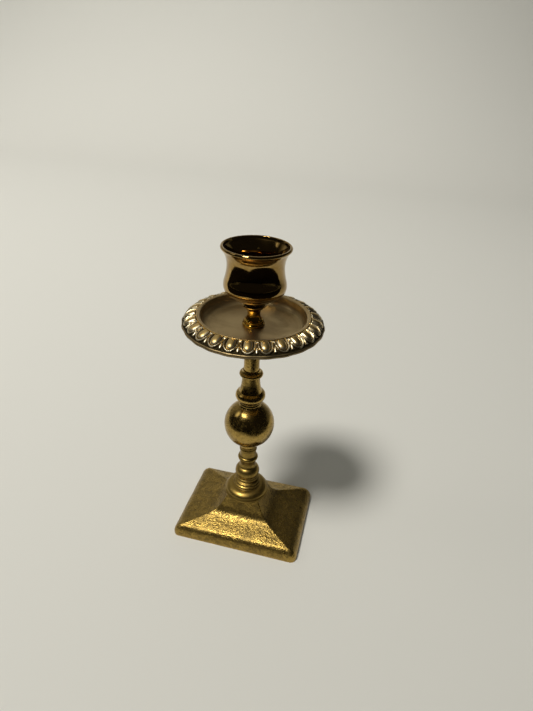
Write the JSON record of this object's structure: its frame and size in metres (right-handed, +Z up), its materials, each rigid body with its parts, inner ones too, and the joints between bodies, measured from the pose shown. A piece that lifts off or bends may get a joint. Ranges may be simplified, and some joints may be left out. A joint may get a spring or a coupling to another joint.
{
  "type": "brass candlestick",
  "caption": "Single brass candlestick: rectangular ogee base, turned stem with a ball knop, dished drip pan with an egg-and-dart border, and a flared cup for a 22 mm candle.",
  "frame": {"origin": "centre of the base's footprint, on the surface that the candlestick stands on", "axes": "+Z up along the stem's axis, +X along the base's longer side, -Y towards the side that the picture shows in front"},
  "size_m": [0.0684, 0.065, 0.1592],
  "materials": {
    "cast_brass": "rough sand-cast brass with an olive-brown patina, gold on the high spots",
    "turned_brass": "turned and worn brass, half polished, with brown tarnish and small pits",
    "pan_brass": "satin brown brass, with pale polished high spots and near-black recesses on the border",
    "cup_brass": "polished brass, smooth enough to mirror its surroundings",
    "steel": "plain dull steel fasteners"
  },
  "bodies": {
    "root": {"base_casting": "cast_brass", "base_washer": "steel", "base_nut": "steel", "tie_rod": "steel", "foot": "turned_brass", "lower_knop": "turned_brass", "stem_ring": "turned_brass", "ball_knop": "turned_brass", "vase": "turned_brass", "collar": "turned_brass", "shaft": "turned_brass", "drip_pan": "pan_brass", "cup_stem": "cup_brass", "candle_cup": "cup_brass", "cup_screw": "steel"}
  },
  "joints": []
}
